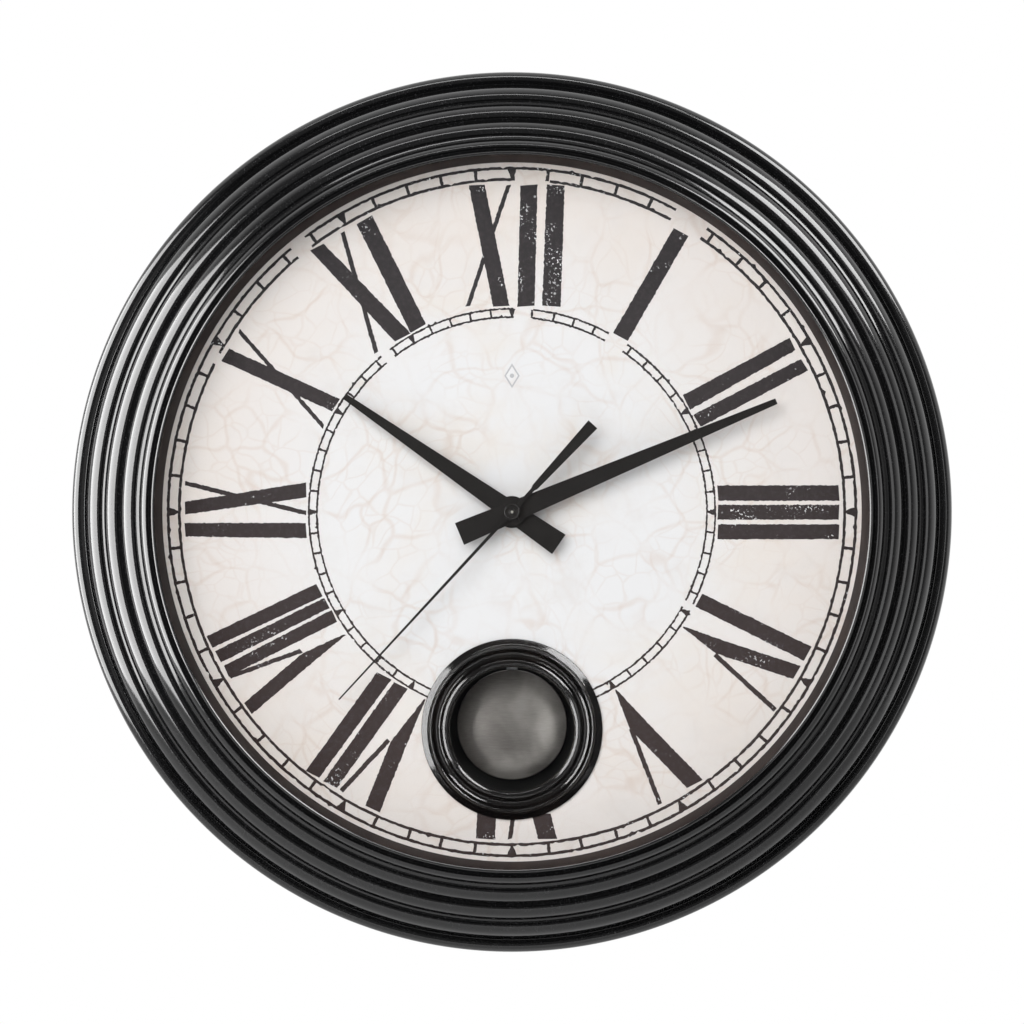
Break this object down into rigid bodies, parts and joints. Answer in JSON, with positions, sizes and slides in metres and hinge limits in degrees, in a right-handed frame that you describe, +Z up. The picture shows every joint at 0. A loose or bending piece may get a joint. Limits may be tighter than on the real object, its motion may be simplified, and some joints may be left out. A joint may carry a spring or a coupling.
{
  "type": "pendulum wall clock",
  "caption": "Round wall clock with a stepped black bezel, Roman marble-print dial and a round window over a swinging pendulum bob.",
  "frame": {"origin": "the point on the wall plane where the hanging screw sits in the top of the keyhole", "axes": "+Z up, +Y into the wall, so the dial faces -Y; +X to the right of someone facing the dial"},
  "size_m": [0.44, 0.061, 0.44],
  "materials": {
    "case_black": "satin black with fine metallic flecks",
    "lens": "clear polished",
    "inner_black": "polished black",
    "dial_print": "printed fibreboard, cream marble with black figures",
    "hand_black": "satin black lacquer",
    "pewter": "dark pewter, finely grained",
    "steel": "zinc plated",
    "brass": "turned",
    "back_plastic": "fine textured black",
    "movement_plastic": "moulded black",
    "white_plastic": "moulded natural acetal",
    "red_plastic": "moulded red acetal",
    "magnet": "sintered magnet",
    "copper_wire": "enamelled copper winding on a plastic bobbin",
    "board": "green lacquered board",
    "cell": "plain dark sleeve",
    "rubber": "matt black"
  },
  "bodies": {
    "clock_case": {"bezel_ring": "case_black", "glass_lens": "lens", "rehaut_ring": "inner_black", "window_ring": "inner_black", "dial_plate": "dial_print", "window_clip_1": "steel", "window_clip_2": "steel", "window_clip_3": "steel", "cover_screw_1": "steel", "cover_screw_2": "steel", "cover_screw_3": "steel", "cover_screw_4": "steel", "cover_screw_5": "steel", "cover_screw_6": "steel", "hanger_plate": "steel", "hanger_rivet_left": "steel", "hanger_rivet_right": "steel", "dial_washer": "steel", "stator": "steel", "quartz_crystal": "steel", "contact_positive": "steel", "contact_negative": "steel", "pendulum_axle": "steel", "dial_nut": "brass", "back_cover": "back_plastic", "spacer_ring": "back_plastic", "movement_front_case": "movement_plastic", "movement_rear_case": "movement_plastic", "train_bridge": "white_plastic", "motor_coil": "copper_wire", "pendulum_coil": "copper_wire", "circuit_board": "board", "battery": "cell", "rubber_washer": "rubber", "wall_pad_left": "rubber", "wall_pad_right": "rubber"},
    "seconds": {"seconds_wheel": "white_plastic", "second_hand": "hand_black"},
    "minute": {"centre_wheel": "red_plastic", "minute_arbor": "brass", "minute_hand": "hand_black", "hand_nut": "brass"},
    "hour": {"hour_wheel": "white_plastic", "hour_hand": "hand_black"},
    "third": {"third_wheel": "white_plastic"},
    "intermediate": {"intermediate_wheel": "white_plastic"},
    "rotor": {"rotor": "red_plastic", "rotor_magnet": "magnet"},
    "motion": {"motion_wheel": "white_plastic"},
    "knob": {"setting_knob": "movement_plastic"},
    "pendulum": {"pendulum_hanger": "movement_plastic", "pendulum_magnet": "magnet", "pendulum_rod": "steel", "pendulum_bob": "pewter", "bob_clip": "steel"}
  },
  "joints": [
    {"name": "seconds_turn", "type": "hinge", "parent": "clock_case", "child": "seconds", "pos_m": [0, -0.0192, -0.168], "axis": [0, 1, 0], "continuous": true},
    {"name": "minute_turn", "type": "hinge", "parent": "clock_case", "child": "minute", "pos_m": [0, -0.0241, -0.168], "axis": [0, 1, 0], "continuous": true},
    {"name": "hour_turn", "type": "hinge", "parent": "clock_case", "child": "hour", "pos_m": [0, -0.029, -0.168], "axis": [0, 1, 0], "continuous": true},
    {"name": "third_turn", "type": "hinge", "parent": "clock_case", "child": "third", "pos_m": [0.00928, -0.0215, -0.17336], "axis": [0, 1, 0], "continuous": true},
    {"name": "intermediate_turn", "type": "hinge", "parent": "clock_case", "child": "intermediate", "pos_m": [0.00764, -0.0172, -0.16036], "axis": [0, 1, 0], "continuous": true},
    {"name": "rotor_turn", "type": "hinge", "parent": "clock_case", "child": "rotor", "pos_m": [0.014, -0.0171, -0.15669], "axis": [0, 1, 0], "continuous": true},
    {"name": "motion_turn", "type": "hinge", "parent": "clock_case", "child": "motion", "pos_m": [-0.01039, -0.0271, -0.162], "axis": [0, 1, 0], "continuous": true},
    {"name": "knob_turn", "type": "hinge", "parent": "clock_case", "child": "knob", "pos_m": [-0.01888, -0.0112, -0.17048], "axis": [0, 1, 0], "continuous": true},
    {"name": "pendulum_swing", "type": "hinge", "parent": "clock_case", "child": "pendulum", "pos_m": [0, -0.0204, -0.2076], "axis": [0, 1, 0], "range_deg": [-9, 9]}
  ],
  "couplings": [
    {"joint": "minute_turn", "follows": "seconds_turn", "ratio": 0.016667},
    {"joint": "hour_turn", "follows": "seconds_turn", "ratio": 0.0013889},
    {"joint": "third_turn", "follows": "seconds_turn", "ratio": -0.13333},
    {"joint": "intermediate_turn", "follows": "seconds_turn", "ratio": -5},
    {"joint": "rotor_turn", "follows": "seconds_turn", "ratio": 30},
    {"joint": "motion_turn", "follows": "seconds_turn", "ratio": -0.0055556},
    {"joint": "knob_turn", "follows": "seconds_turn", "ratio": 0.016667}
  ]
}
